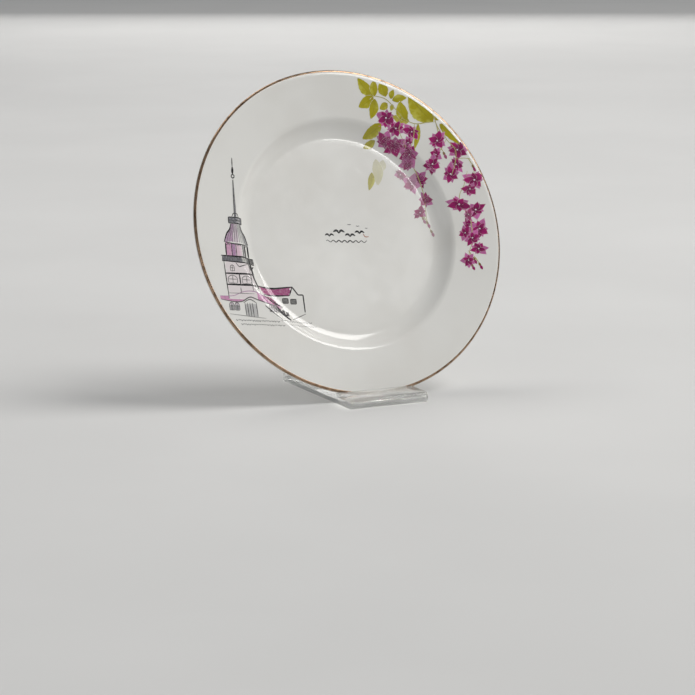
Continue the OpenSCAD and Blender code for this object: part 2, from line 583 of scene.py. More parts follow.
@dataclass(frozen=True)
class Porcelain:
    """White hard porcelain, glazed, or bare where the foot ring was wiped for firing."""

    name: str = "Glazed porcelain"
    white: Colour = PORCELAIN_WHITE
    shade: Colour = (0.79, 0.78, 0.745)
    bare: bool = False

    def build(self, palette: Palette) -> bpy.types.Material:
        """Builds the material from the shared groups."""
        material, graph, shader = start_material(self.name, self.white)
        if self.bare:
            place = graph.add("ShaderNodeTexCoord").outputs["Object"]
            grain = graph.noise(place, 2600.0, 4.0, 0.7)
            bump = graph.add("ShaderNodeBump", Strength=0.4, Distance=0.1 * MM, Height=grain)
            graph.feed(shader.inputs["Normal"], bump.outputs[0])
            graph.feed(shader.inputs["Roughness"], graph.remap(grain, 0.3, 0.7, 0.6, 0.85))
        else:
            place = add_glaze(graph, shader, palette)
        cloud = graph.remap(graph.noise(place, 22.0, 2.0), 0.35, 0.7)
        graph.feed(shader.inputs["Base Color"], graph.mix(cloud, self.white, self.shade))
        return material


@dataclass(frozen=True)
class FiredGold:
    """Bright gold banded on by hand: a little thin in places, with fine changes of gloss."""

    name: str = "Fired gold"
    bright: Colour = (0.42, 0.285, 0.19)
    deep: Colour = (0.13, 0.075, 0.045)

    def build(self, palette: Palette) -> bpy.types.Material:
        """Builds the material from the shared groups."""
        material, graph, shader = start_material(self.name, self.bright)
        place = add_glaze(graph, shader, palette, 0.08)
        thin = graph.remap(graph.noise(place, 180.0, 4.0, 0.6), 0.42, 0.72)
        graph.feed(shader.inputs["Base Color"], graph.mix(thin, self.bright, self.deep))
        graph.feed(shader.inputs["Roughness"], graph.remap(
            graph.noise(place, 900.0, 3.0), 0.3, 0.7, 0.12, 0.22))
        shader.inputs["Metallic"].default_value = 1.0
        return material


class Print(Enum):
    """What a fired colour is laid on as, which sets its edges and its grain."""

    PETAL = "petal"
    LEAF = "leaf"
    WASH = "wash"
    INK = "ink"


@dataclass(frozen=True)
class FiredColour:
    """An on-glaze colour from a transfer. Each stroke brings its own tint and its own UVs."""

    name: str
    kind: Print
    grain: float = 0.3
    fade: float = 0.25
    tip_fade: float = 0.2

    def build(self, palette: Palette) -> bpy.types.Material:
        """Builds the material from the shared groups."""
        material, graph, shader = start_material(self.name, (0.5, 0.4, 0.45))
        place = add_glaze(graph, shader, palette, 0.06)
        tint = graph.add("ShaderNodeAttribute", attribute_name="tint")
        across, along_, _ = graph.add(
            "ShaderNodeSeparateXYZ",
            Vector=graph.add("ShaderNodeUVMap", uv_map="UVMap").outputs[0]).outputs
        paint = graph.add("ShaderNodeGroup", node_tree=palette.watercolour, Vector=place,
                          U=across, V=along_, Grain=self.grain, Fade=self.fade,
                          Tip_Fade=self.tip_fade)
        colour = tint.outputs["Color"]
        dark = graph.mix(1.0, colour, POOLED, "MULTIPLY")
        if self.kind is Print.PETAL:
            base = graph.remap(along_, 0.1, 0.6, 1.0, 0.0)
            vein = graph.remap(graph.math("ABSOLUTE", graph.math(
                "SUBTRACT", across, 0.5)), 0.0, 0.2, 0.5, 0.0)
            deep = graph.math("MAXIMUM", base, vein)
            colour = graph.mix(graph.math("MULTIPLY", deep, 0.8), colour, dark)
        elif self.kind is Print.LEAF:
            vein = graph.remap(graph.math("ABSOLUTE", graph.math(
                "SUBTRACT", across, 0.5)), 0.0, 0.05, 0.45, 0.0)
            side = graph.remap(across, 0.3, 1.0, 0.0, 0.75)
            base = graph.remap(along_, 0.0, 0.5, 0.35, 0.0)
            colour = graph.mix(graph.math("MAXIMUM", vein, base), colour, dark)
            colour = graph.mix(graph.math("MULTIPLY", side, paint.outputs["Pool"]), colour,
                               SUNLIT_LEAF)
        elif self.kind is Print.WASH:
            colour = graph.mix(graph.math("MULTIPLY", paint.outputs["Pool"], 0.5), colour,
                               graph.mix(1.0, colour, POOLED_WASH, "MULTIPLY"))
        cover = graph.math("MULTIPLY", paint.outputs["Cover"], tint.outputs["Alpha"])
        if self.kind is not Print.WASH:
            cover = graph.math("SUBTRACT", 1.0, graph.math("POWER", graph.math(
                "SUBTRACT", 1.0, cover, clamp=True), PIGMENT_STRENGTH))
        under = PORCELAIN_WHITE
        if self.kind is Print.PETAL:
            under = graph.mix(0.5, PORCELAIN_WHITE, tint.outputs["Color"])
        graph.feed(shader.inputs["Base Color"], graph.mix(cover, under, colour))
        return material


@dataclass(frozen=True)
class ClearAcrylic:
    """Clear cast acrylic sheet with faint handling marks."""

    name: str = "Clear acrylic"
    tint: Colour = (0.985, 0.99, 0.985)
    cloudy_tint: Colour = (0.975, 0.982, 0.976)
    clear_tint: Colour = (0.985, 0.987, 0.98)
    ior: float = 1.49

    def build(self) -> bpy.types.Material:
        """Builds the material."""
        material, graph, shader = start_material(self.name, self.tint)
        place = graph.add("ShaderNodeTexCoord").outputs["Object"]
        stretched = graph.add("ShaderNodeMapping", Vector=place, Scale=(40.0, 900.0, 900.0))
        rub = graph.noise(stretched.outputs[0], 1.0, 4.0, 0.6)
        graph.feed(shader.inputs["Roughness"], graph.remap(rub, 0.55, 0.8, 0.005, 0.035))
        cloud = graph.noise(place, 30.0, 2.0)
        graph.feed(shader.inputs["Base Color"], graph.mix(cloud, self.tint, self.cloudy_tint))
        shader.inputs["IOR"].default_value = self.ior
        shader.inputs["Transmission Weight"].default_value = 1.0
        ray = graph.add("ShaderNodeLightPath").outputs["Is Shadow Ray"]
        sheen = graph.add("ShaderNodeFresnel", IOR=self.ior).outputs[0]
        share = graph.math("MAXIMUM", ray, graph.remap(sheen, 0.04, 0.45, 0.75, 0.35))
        clear = graph.add("ShaderNodeBsdfTransparent", Color=(*self.clear_tint, 1.0))
        both = graph.add("ShaderNodeMixShader", in_0=share, in_1=shader.outputs[0],
                         in_2=clear.outputs[0])
        output = next(n for n in graph.tree.nodes if n.bl_idname == "ShaderNodeOutputMaterial")
        graph.feed(output.inputs["Surface"], both.outputs[0])
        return material


# ---------------------------------------------------------------- drawing on the plate


@dataclass
class Artwork:
    """A sheet of strokes and washes drawn flat, in millimetres, before it is fired on.

    Every stroke is a grid shaped to its outline. Its UVs run across and along it, and its tint
    holds its colour and how thickly it is laid. No stroke goes past the edge, a radius in
    millimetres. The nib widens every pen line, whose cells are pen_cell millimetres long at
    most, and the film is a fired stroke's thickness in microns.
    """

    name: str
    edge: float = 121.0
    nib: float = 1.0
    pen_cell: float = 0.8
    film: float = 30.0
    strokes: list[bpy.types.Object] = field(default_factory=list)

    def patch(self, left: Sequence[Point], right: Sequence[Point], colour: Colour,
              strength: float = 1.0, height: float = 20.0, cell: float = 1.0) -> None:
        """Fills the space between two lines.

        Args:
            left: The line at the start of each row, in millimetres.
            right: The line at the end of each row.
            colour: The paint's colour.
            strength: How thickly it is laid, from 0 to 1.
            height: Height of its face above the glaze, in microns.
            cell: Longest side of a cell, in millimetres.
        """
        length = max(sum(math.dist(a, b) for a, b in zip(line, line[1:]))
                     for line in (left, right))
        width = max(math.dist(along(left, s), along(right, s)) for s in (0.0, 0.5, 1.0))
        rows = max(2, math.ceil(length / cell))
        columns = max(2, math.ceil(width / cell))
        self.grid(columns, rows, colour, strength, height,
                  lambda u, v: tuple(a + (b - a) * u
                                     for a, b in zip(along(left, v), along(right, v))))

    def grid(self, columns: int, rows: int, colour: Colour, strength: float, height: float,
             place: Callable[[float, float], Point]) -> bpy.types.Object:
        """Adds a grid and moves each of its points to where a rule says.

        Args:
            columns: Cells across.
            rows: Cells along.
            colour: The paint's colour.
            strength: How thickly it is laid.
            height: Height of its face above the glaze, in microns.
            place: Gives the place, in millimetres, of a share across and a share along.

        Returns:
            The grid, which is also kept with the artwork's strokes.
        """
        deselect()
        bpy.ops.mesh.primitive_grid_add(x_subdivisions=columns, y_subdivisions=rows, size=1.0)
        stroke = bpy.context.object
        mesh = stroke.data
        outside = set()
        for vertex in mesh.vertices:
            x, y = place(vertex.co.x + 0.5, vertex.co.y + 0.5)
            trim = min(1.0, self.edge / max(math.hypot(x, y), 1.0))
            vertex.co = (x * trim * MM, y * trim * MM, height * MICRON)
            if trim < 1.0:
                outside.add(vertex.index)
        tint = mesh.color_attributes.new("tint", "FLOAT_COLOR", "POINT")
        for item in tint.data:
            item.color = (*colour, strength)
        if outside:
            self.cut_off(stroke, outside)
        self.strokes.append(stroke)
        return stroke

    @staticmethod
    def cut_off(stroke: bpy.types.Object, outside: set[int]) -> None:
        """Deletes the faces of a stroke that lie wholly past the transfer's outer edge."""
        bpy.ops.object.mode_set(mode="EDIT")
        bpy.ops.mesh.select_mode(type="FACE")
        bpy.ops.mesh.select_all(action="DESELECT")
        bpy.ops.object.mode_set(mode="OBJECT")
        for face in stroke.data.polygons:
            face.select = outside.issuperset(face.vertices)
        bpy.ops.object.mode_set(mode="EDIT")
        bpy.ops.mesh.delete(type="FACE")
        bpy.ops.mesh.select_mode(type="VERT")
        bpy.ops.object.mode_set(mode="OBJECT")

    def line(self, path: Sequence[Point], width: float, colour: Colour,
             strength: float = 1.0, height: float = 50.0, ends: float = 0.5) -> None:
        """Draws one pen line, which swells a little in the middle.

        Args:
            path: Its points, in millimetres.
            width: Its width in the middle, in millimetres.
            colour: The ink's colour.
            strength: How thickly it is laid.
            height: Height of its face above the glaze, in microns.
            ends: Width of its ends as a share of its middle's.
        """
        length = sum(math.dist(a, b) for a, b in zip(path, path[1:]))
        rows = max(2, math.ceil(length / self.pen_cell))
        look = 0.02

        def place(u: float, v: float) -> Point:
            """Place on the line at a share across and a share along."""
            here = along(path, v)
            a, b = along(path, max(0.0, v - look)), along(path, min(1.0, v + look))
            run = math.dist(a, b) or 1.0
            half = self.nib * width * (ends + (1 - ends) * math.sin(math.pi * v)) * (u - 0.5)
            return (here[0] - (b[1] - a[1]) / run * half, here[1] + (b[0] - a[0]) / run * half)

        self.grid(2, rows, colour, strength, height, place)

    def copy(self, stroke: bpy.types.Object, turn: Matrix, lift: float,
             tint: Colour, strength: float) -> None:
        """Keeps a copy of a stroke, with its own mesh, turned and tinted afresh.

        Args:
            stroke: The stroke to copy.
            turn: Where the copy goes.
            lift: How far it is raised, in microns.
            tint: The copy's colour.
            strength: How thickly it is laid.
        """
        twin = stroke.copy()
        twin.data = stroke.data.copy()
        bpy.context.collection.objects.link(twin)
        twin.data.transform(turn)
        for vertex in twin.data.vertices:
            vertex.co.z += lift * MICRON
        for item in twin.data.color_attributes["tint"].data:
            item.color = tuple(a * b for a, b in zip(item.color, (*tint, strength)))
        self.strokes.append(twin)

    def fire(self, shape: PlateShape, turn: float, finish: bpy.types.Material,
             node: str) -> bpy.types.Object:
        """Joins the strokes into one film and fires it onto the plate's front.

        Args:
            shape: The plate.
            turn: How far the picture is turned about the plate's middle, in radians.
            finish: The film's material.
            node: The CAD node that it stands for.

        Returns:
            The film.
        """
        film = join(self.strokes, self.name)
        film.data.transform(Matrix.Rotation(turn, 4, "Z"))
        make_active(film)
        solid = film.modifiers.new("Film", "SOLIDIFY")
        solid.thickness = self.film * MICRON
        solid.offset = -1.0
        bpy.ops.object.modifier_apply(modifier=solid.name)
        shape.lay_on_front(film)
        film.data.materials.clear()
        film.data.materials.append(finish)
        smooth(film, 40.0)
        shape.put_in_place(film)
        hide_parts(node)
        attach(film, "plate")
        LOG.info("%s: %d strokes, %d faces", self.name, len(self.strokes),
                 len(film.data.polygons))
        return film


# ---------------------------------------------------------------- the plate


@dataclass
class Plate:
    """The porcelain and its gilded edge.

    The gold goes round the rim's rounded edge by its turn, thins to its feather, a share of its
    thickness, at both its sides, and bites a little into the glaze.
    """

    shape: PlateShape
    segments: int = 256
    gilding_width: float = 1.9 * MM
    gilding_thickness: float = 0.02 * MM
    gilding_bite: float = 0.03 * MM
    gilding_turn: float = math.radians(72)
    gilding_feather: float = 0.2
    wiped_height: float = 0.7 * MM

    def build(self, palette: Palette) -> None:
        """Turns the plate and bands its edge.

        Args:
            palette: The shared node groups.
        """
        body = spin_section("porcelain_plate", self.shape.section(), self.segments)
        body.data.materials.append(Porcelain().build(palette))
        body.data.materials.append(Porcelain("Bare foot", (0.80, 0.78, 0.73),
                                             (0.74, 0.71, 0.65), True).build(palette))
        self.wipe_foot(body)
        smooth(body, 40.0)
        self.shape.put_in_place(body)
        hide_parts("plate_body")
        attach(body, "plate")
        LOG.info("porcelain_plate: %d faces", len(body.data.polygons))

        band = spin_section("gold_band", self.band_section(), self.segments)
        band.data.materials.append(FiredGold().build(palette))
        smooth(band, 60.0)
        self.shape.put_in_place(band)
        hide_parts("rim_gilding")
        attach(band, "plate")
        LOG.info("gold_band: %d faces", len(band.data.polygons))

    def wipe_foot(self, body: bpy.types.Object) -> None:
        """Leaves the foot ring's lower face bare of glaze."""
        make_active(body)
        bpy.ops.object.mode_set(mode="EDIT")
        bpy.ops.mesh.select_all(action="DESELECT")
        bpy.ops.object.mode_set(mode="OBJECT")
        for face in body.data.polygons:
            face.select = face.center.z < self.wiped_height
        body.active_material_index = 1
        bpy.ops.object.mode_set(mode="EDIT")
        bpy.ops.object.material_slot_assign()
        bpy.ops.object.mode_set(mode="OBJECT")

    def band_section(self) -> list[Point]:
        """The gold's section: it hugs the front of the rim's rounded edge."""
        shape, skin = self.shape, self.gilding_thickness
        thin = self.gilding_feather * skin
        start = max(0.0, self.gilding_width - shape.edge_round)
        centre = (shape.edge_centre, shape.rim_height - shape.edge_round)

        def ring(radius: float, turn: float) -> Point:
            """A point on a circle round the middle of the edge."""
            return (centre[0] + radius * math.cos(turn), centre[1] + radius * math.sin(turn))

        turns = [math.pi / 2 - self.gilding_turn * i / 8 for i in range(9)]
        outer = [ring(shape.edge_round + (skin if i < 8 else thin), turn)
                 for i, turn in enumerate(turns)]
        inner = [ring(shape.edge_round - self.gilding_bite, turn) for turn in reversed(turns)]
        first = (shape.edge_centre - start, shape.front(shape.edge_centre - start))
        return [(first[0], first[1] + thin), *outer, *inner,
                (first[0], first[1] - self.gilding_bite), (first[0], first[1] + thin)]


# ---------------------------------------------------------------- blossoms and leaves


@dataclass(frozen=True)
class Leaf:
    """One painted leaf, from its stalk to its tip, in millimetres."""

    stalk: Point
    tip: Point
    width: float
    strength: float = 1.0


@dataclass(frozen=True)
class Blossom:
    """One painted blossom: the middle of it, its radius and how strongly it is printed."""

    x: float
    y: float
    size: float
    strength: float = 1.0


@dataclass
class BlossomTransfer:
    """Two strings of blossoms that hang from leafy twigs at the upper right of the plate."""

    shape: PlateShape
    turn: float
    blossoms: Sequence[Blossom] = (
        Blossom(47.5, 86, 7.8), Blossom(54.5, 77.5, 7), Blossom(67, 74, 6.5),
        Blossom(63, 66, 5.2, 0.9), Blossom(46.5, 69, 7.5), Blossom(53.5, 65, 7),
        Blossom(63.5, 57, 8), Blossom(63, 51, 5.5, 0.7), Blossom(70.5, 38.5, 6),
        Blossom(64.5, 35.5, 6.5, 0.35), Blossom(73.5, 22.5, 5.8, 0.75),
        Blossom(67.5, 13, 5.5, 0.55), Blossom(56.5, 43.5, 5, 0.25),
        Blossom(86.5, 65.5, 7.5), Blossom(84, 55, 5.5), Blossom(80.3, 48, 7.2),
        Blossom(101.5, 57, 7.2), Blossom(99, 46, 6.2), Blossom(93.5, 39, 7.2),
        Blossom(111.5, 32.5, 8, 0.95), Blossom(107, 26, 6.2, 0.9), Blossom(96.5, 15, 8),
        Blossom(108.8, 9.5, 7.5), Blossom(102.5, 6.5, 4.5, 0.7), Blossom(102, -3, 6.2),
        Blossom(109.3, -5.5, 7), Blossom(97.3, -7.5, 5.2), Blossom(102.3, -12, 6.5),
        Blossom(105.5, -21, 6), Blossom(95.8, -29, 5.5),
    )
    strings: Sequence[Sequence[Point]] = (
        ((60, 84), (57, 76), (60, 66), (65, 52), (70, 40), (73, 24), (72, 8), (74, 1)),
        ((70, 80), (68, 70), (64, 60)), ((92, 74), (94, 66), (100, 57), (98, 46), (94, 38)),
        ((94, 66), (88, 58), (81, 49)), ((100, 50), (107, 50), (112, 47), (112, 34)),
        ((107, 40), (103, 30), (98, 22), (98, 14), (103, 5), (103, -6), (101, -16),
         (98, -22), (96, -30)),
    )
    leaves: Sequence[Leaf] = (
        Leaf((39, 103), (27.5, 117.5), 9), Leaf((40, 103), (41, 115.5), 6.5),
        Leaf((39, 103), (26, 95.5), 9), Leaf((40, 101), (35, 86), 7.5),
        Leaf((49, 102), (47, 115), 8.5), Leaf((53, 100), (56, 107), 4.5),
        Leaf((54, 99), (66, 100), 6), Leaf((50, 97), (43, 93), 6, 0.9),
        Leaf((54, 96), (52, 91), 3.5, 0.8), Leaf((63, 82), (60, 98), 9.5),
        Leaf((66, 82), (53, 87), 8, 0.85), Leaf((85, 80), (68, 104), 17),
        Leaf((87, 81), (92, 88), 7), Leaf((90, 78), (107, 60), 10),
        Leaf((43, 82), (29, 73), 9), Leaf((39, 71), (29, 66), 6, 0.8),
        Leaf((73, 80), (67, 60), 4.5, 0.95), Leaf((67, 62), (66, 55), 2.5, 0.9),
        Leaf((38, 57), (36, 36), 9, 0.25), Leaf((33, 47), (28, 33), 5.5, 0.6),
        Leaf((44, 56), (40, 46), 6, 0.2),
    )
    twigs: Sequence[Sequence[Point]] = (
        ((62, 84), (56, 92), (49, 100), (40, 103), (36, 101)),
        ((87, 80), (80, 80), (70, 80), (60, 85)), ((86, 92), (87, 80), (90, 72), (94, 66)),
        ((87, 80), (88, 72), (87, 64)),
    )
    green: Colour = (0.41, 0.36, 0.001)
    twig_green: Colour = (0.40, 0.36, 0.08)
    stem_green: Colour = (0.40, 0.38, 0.05)
    stalk_green: Colour = (0.40, 0.36, 0.03)
    cup_olive: Colour = (0.20, 0.11, 0.01)
    wine: Colour = (0.31, 0.004, 0.12)
    pink: Colour = (0.50, 0.09, 0.32)
    eye_white: Colour = (0.9, 0.8, 0.87)

    def build(self, palette: Palette) -> None:
        """Paints the leaves, then the stems, then the blossoms over them.

        Args:
            palette: The shared node groups.
        """
        leaves = Artwork("painted_leaves")
        for index, leaf in enumerate(self.leaves):
            self.paint_leaf(leaves, leaf, 16 + 2 * (index % 5))
        leaves.fire(self.shape, self.turn,
                    FiredColour("Leaf green", Print.LEAF, 0.12, 0.1, 0.05).build(palette),
                    "blossom_transfer")
        stems = Artwork("painted_stems")
        for twig in self.twigs:
            stems.line(curve(twig), 0.7, self.twig_green, 0.8, 34)
        for string in self.strings:
            stems.line(curve(string), 0.6, self.stem_green, 0.7, 34)
        self.paint_buds(stems)
        stems.fire(self.shape, self.turn,
                   FiredColour("Stem green", Print.INK, 0.2, 0.1, 0.02).build(palette),
                   "blossom_transfer")
        petals = Artwork("painted_blossoms")
        self.paint_blossoms(petals)
        petals.fire(self.shape, self.turn,
                    FiredColour("Blossom magenta", Print.PETAL, 0.1, 0.22, 0.25).build(palette),
                    "blossom_transfer")

    def paint_leaf(self, art: Artwork, leaf: Leaf, height: float) -> None:
        """Paints one leaf, widest below its middle and bent a little to one side."""
        run = (leaf.tip[0] - leaf.stalk[0], leaf.tip[1] - leaf.stalk[1])
        length = math.hypot(*run)
        side = (-run[1] / length, run[0] / length)

        def place(u: float, v: float) -> Point:
            """Place on the leaf at a share across and a share along."""
            half = leaf.width * (0.03 + math.sin(math.pi * v ** 0.85) ** 0.9)
            across = half * (u - 0.5) + 0.05 * length * math.sin(math.pi * v)
            return (leaf.stalk[0] + run[0] * v + side[0] * across,
                    leaf.stalk[1] + run[1] * v + side[1] * across)

        art.grid(max(4, round(leaf.width)), max(6, round(length)), self.green,
                 leaf.strength, height, place)

    def petal(self, art: Artwork, length: float, width: float) -> bpy.types.Object:
        """Shapes one pointed petal at the origin, taken off the artwork's strokes again.

        Args:
            art: The artwork whose grid makes the petal.
            length: The petal's length, in millimetres.
            width: Its width.

        Returns:
            The petal.
        """
        stroke = art.grid(
            5, 7, (1.0, 1.0, 1.0), 1.0, 0.0,
            lambda u, v: ((u - 0.5) * width * (0.45 * (1 - v) + math.sin(
                math.pi * v ** 0.8) ** 1.2 * (1 - 0.35 * v)), length * v))
        art.strokes.remove(stroke)
        return stroke

    def paint_blossoms(self, art: Artwork) -> None:
        """Paints every blossom from one front petal and one back petal."""
        rng = random.Random(7)
        front, back = self.petal(art, 1.18, 0.76), self.petal(art, 1.28, 0.82)
        for index, blossom in enumerate(self.blossoms):
            self.paint_blossom(art, (front, back), blossom, 42 + 7 * (index % 8), rng)
        bpy.data.objects.remove(front)
        bpy.data.objects.remove(back)

    def paint_blossom(self, art: Artwork, petals: tuple[bpy.types.Object, bpy.types.Object],
                      blossom: Blossom, height: float, rng: random.Random) -> None:
        """Paints one blossom: soft petals behind, dark ones over them, and a white eye.

        Args:
            art: The artwork.
            petals: The front petal and the back petal.
            blossom: The blossom.
            height: Height of its lowest petal above the glaze, in microns.
            rng: The source of its small irregularities.
        """
        start = rng.uniform(0, math.tau)
        squash = Matrix.Rotation(rng.uniform(0, math.tau), 4, "Z")
        place = (Matrix.Translation((blossom.x * MM, blossom.y * MM, 0)) @ squash
                 @ Matrix.Diagonal((1.0, rng.uniform(0.72, 0.95), 1.0, 1.0)))
        for petal, colour, share, lift, offset in (
                (petals[1], self.pink, 0.7, 0.0, 0.5), (petals[0], self.wine, 1.0, 3.0, 0.0)):
            for k in range(5):
                angle = start + math.tau * (k + offset) / 5 + rng.uniform(-0.22, 0.22)
                size = blossom.size * rng.uniform(0.72, 1.15)
                turn = (place @ Matrix.Rotation(angle, 4, "Z")
                        @ Matrix.Diagonal((size, size, 1.0, 1.0)))
                shade = rng.uniform(0.8, 1.3)
                art.copy(petal, turn, height + lift + 0.4 * k,
                         tuple(c * shade for c in colour), blossom.strength * share)
        for radius, colour, lift in ((0.42, self.wine, 1.5), (0.09, self.eye_white, 7.0)):
            size = radius * blossom.size
            art.grid(6, 6, colour, blossom.strength, height + lift,
                     lambda u, v, s=size: (
                         blossom.x + s * (2 * u - 1) * math.sqrt(1 - (2 * v - 1) ** 2 / 2),
                         blossom.y + s * (2 * v - 1) * math.sqrt(1 - (2 * u - 1) ** 2 / 2)))

    def paint_buds(self, art: Artwork) -> None:
        """Paints closed buds in their olive cups on short stalks at the foot of each string."""
        for x, y, strength in ((100.2, -29.5, 1), (97.6, -34.3, 1), (103.8, -34.3, 1),
                               (72, 3.5, 0.6), (74, -3.5, 0.5), (69, 7, 0.5), (90.5, 54, 0.8),
                               (112, 42, 0.9)):
            art.line(curve(((x - 3, y + 8), (x - 1, y + 4), (x, y + 2))), 0.6,
                     self.stalk_green, strength, 36)
            art.line(((x - 0.4, y + 2.5), (x + 0.7, y - 0.5)), 2.1, self.cup_olive,
                     strength, 38, 0.4)
            art.line(((x + 0.3, y + 0.5), (x + 1.5, y - 3)), 2.4, self.wine, strength, 40, 0.3)


# ---------------------------------------------------------------- the tower


@dataclass
class TowerTransfer:
    """A pen-and-wash tower with a ribbed cap, a balcony and a low house beside it."""

    shape: PlateShape
    turn: float
    axis: float = -90.0
    ink: Colour = (0.01, 0.009, 0.012)
    lilac: Colour = (0.42, 0.22, 0.40)
    rose: Colour = (0.60, 0.26, 0.46)
    magenta: Colour = (0.36, 0.03, 0.18)
    grey: Colour = (0.12, 0.12, 0.145)

    def build(self, palette: Palette) -> None:
        """Lays the washes, then draws over them with the pen.

        Args:
            palette: The shared node groups.
        """
        wash = Artwork("tower_washes")
        pen = Artwork("tower_pen_lines", nib=1.9)
        self.draw_spire(wash, pen)
        self.draw_cap(wash, pen)
        self.draw_drum(wash, pen)
        self.draw_shaft(wash, pen)
        self.draw_house(wash, pen)
        self.draw_wing(wash, pen)
        self.draw_ground(pen)
        wash.fire(self.shape, self.turn,
                  FiredColour("Tower washes", Print.WASH, 0.2, 0.06, 0.03).build(palette),
                  "tower_transfer")
        pen.fire(self.shape, self.turn,
                 FiredColour("Tower ink", Print.INK, 0.12, 0.05, 0.01).build(palette),
                 "tower_transfer")

    def box(self, pen: Artwork, x0: float, y0: float, x1: float, y1: float,
            width: float = 0.4, strength: float = 0.9) -> None:
        """Draws a box by its left, bottom, right and top sides."""
        corners = ((x0, y0), (x1, y0), (x1, y1), (x0, y1), (x0, y0))
        for a, b in zip(corners, corners[1:]):
            pen.line((a, b), width, self.ink, strength, ends=0.8)

    def fill(self, wash: Artwork, x0: float, y0: float, x1: float, y1: float,
             colour: Colour, strength: float = 1.0, height: float = 20.0) -> None:
        """Lays a wash in a box by its left, bottom, right and top sides."""
        wash.patch(((x0, y0), (x0, y1)), ((x1, y0), (x1, y1)), colour, strength, height)

    def draw_spire(self, wash: Artwork, pen: Artwork) -> None:
        """Draws the thin spire with its ball."""
        x = self.axis
        wash.patch(((x - 0.9, 9.5), (x - 0.2, 39)), ((x + 0.9, 9.5), (x + 0.2, 39)),
                   self.grey, 0.9)
        pen.line(((x - 0.8, 9.5), (x - 0.2, 39)), 0.35, self.ink, 0.8)
        pen.line(((x + 0.9, 9.5), (x + 0.2, 39)), 0.25, self.ink, 0.6)
        pen.line(((x, 42), (x, 47.5)), 1.0, self.ink, 1.0, ends=0.4)
        pen.line(((x, 46.5), (x, 54.5)), 0.4, self.ink, 1.0, ends=0.3)
        ball = [(x + 1.3 * math.cos(t), 40.5 + 1.3 * math.sin(t))
                for t in (math.tau * i / 12 for i in range(13))]
        pen.line(ball, 0.4, self.ink, 1.0, ends=1.0)

    def cap_side(self, share: float) -> list[Point]:
        """One rib of the cap: the share runs from -1 at its left side to 1 at its right."""
        x = self.axis
        return curve(((x + 4.4 * share, 4.5), (x + 5.6 * share, 0.5), (x + 8.6 * share, -3.5),
                      (x + 11 * share, -9.5)))

    def draw_cap(self, wash: Artwork, pen: Artwork) -> None:
        """Draws the lantern's rail and the ribbed cap that flares below it."""
        x = self.axis
        self.fill(wash, x - 6, 5, x + 6, 9.5, self.grey, 1.0)
        self.box(pen, x - 6, 5, x + 6, 9.5, 0.45)
        pen.line(((x - 5.5, 7.2), (x + 5.5, 7.2)), 0.35, self.ink, 0.8)
        pen.line(((x - 3, 9.6), (x - 1.6, 12.5), (x + 1.6, 12.5), (x + 3, 9.6)), 0.4, self.ink,
                 0.8)
        for start, end, colour, strength in (
                (-1.0, -0.35, self.lilac, 0.9), (-0.35, 0.15, self.lilac, 0.5),
                (0.15, 0.7, self.grey, 0.3), (0.7, 1.0, self.grey, 0.75)):
            wash.patch(self.cap_side(start), self.cap_side(end), colour, strength)
        for step in range(-5, 6):
            edge = abs(step) == 5
            pen.line(self.cap_side(step / 5), 0.6 if edge else 0.28, self.ink,
                     1.0 if edge else 0.65)
        pen.line(curve(((x - 11.5, -9.5), (x, -10.8), (x + 11.5, -9.5))), 0.5, self.ink, 0.9)

    def draw_drum(self, wash: Artwork, pen: Artwork) -> None:
        """Draws the round lantern room with its posts."""
        x = self.axis
        bands = (-10.2, -5.5, -2.0, 3.5, 7.5)
        tints = ((self.rose, 0.9), (self.lilac, 1.0), (self.rose, 0.6), (self.grey, 0.5))
        for (start, end), (colour, strength) in zip(zip(bands, bands[1:]), tints):
            self.fill(wash, x + start, -20, x + end, -10, colour, strength)
        for post, width in ((-10.2, 0.6), (-5.2, 0.35), (-1.5, 0.3), (5.0, 0.5), (7.2, 1.0),
                            (10.4, 0.9)):
            pen.line(((x + post, -10.5), (x + post, -20)), width, self.ink, 0.95, ends=0.7)
        for start in (-9.5, 0.0, 7.8):
            pen.line(curve(((x + start, -12), (x + start + 1.5, -10.8), (x + start + 3, -12))),
                     0.4, self.ink, 0.8)

    def draw_shaft(self, wash: Artwork, pen: Artwork) -> None:
        """Draws the dark balcony and the square shaft with its string courses."""
        x = self.axis
        self.fill(wash, x - 14.5, -24.5, x + 3, -20, self.grey, 1.0)
        self.fill(wash, x + 3, -24.5, x + 15, -20.5, self.ink, 0.9)
        pen.line(((x - 15, -20), (x + 15, -20.5)), 0.6, self.ink)
        pen.line(((x - 14.5, -24), (x + 15, -25)), 0.5, self.ink)
        for step in range(14):
            at = x - 14 + 2.1 * step
            pen.line(((at, -20.4), (at, -24.3)), 0.25, self.ink, 0.7)
        wash.patch(((x - 12.5, -24.5), (x - 11.5, -53)), ((x + 11.5, -25), (x + 12.5, -53)),
                   self.rose, 0.2)
        pen.line(((x - 13, -24), (x - 11.6, -53)), 0.45, self.ink, 0.8)
        pen.line(((x + 8.5, -25), (x + 9.5, -46)), 0.4, self.ink, 0.7)
        pen.line(((x + 10, -21), (x + 11.5, -29), (x + 12, -36), (x + 15, -44)), 1.2, self.ink,
                 ends=0.6)
        pen.line(((x + 8.8, -25), (x + 10.5, -30), (x + 14, -26)), 0.7, self.ink)
        pen.line(((x - 3, -25), (x - 0.5, -28), (x + 8, -25.5)), 0.4, self.ink, 0.8)
        for y in (-33.5, -42.0):
            pen.line(((x - 12.6, y), (x + 9, y + 0.3), (x + 13, y - 0.4)), 0.75, self.ink, 0.95,
                     ends=0.7)
        pen.line(((x - 12, -48.5), (x + 10, -48.3)), 0.3, self.ink, 0.5)
        pen.line(((x - 1, -33.5), (x - 0.6, -42)), 0.6, self.ink, 0.9)
        for left in (-10.5, 1.2):
            self.window(wash, pen, x + left, -40.8, 7.2, 6.0)
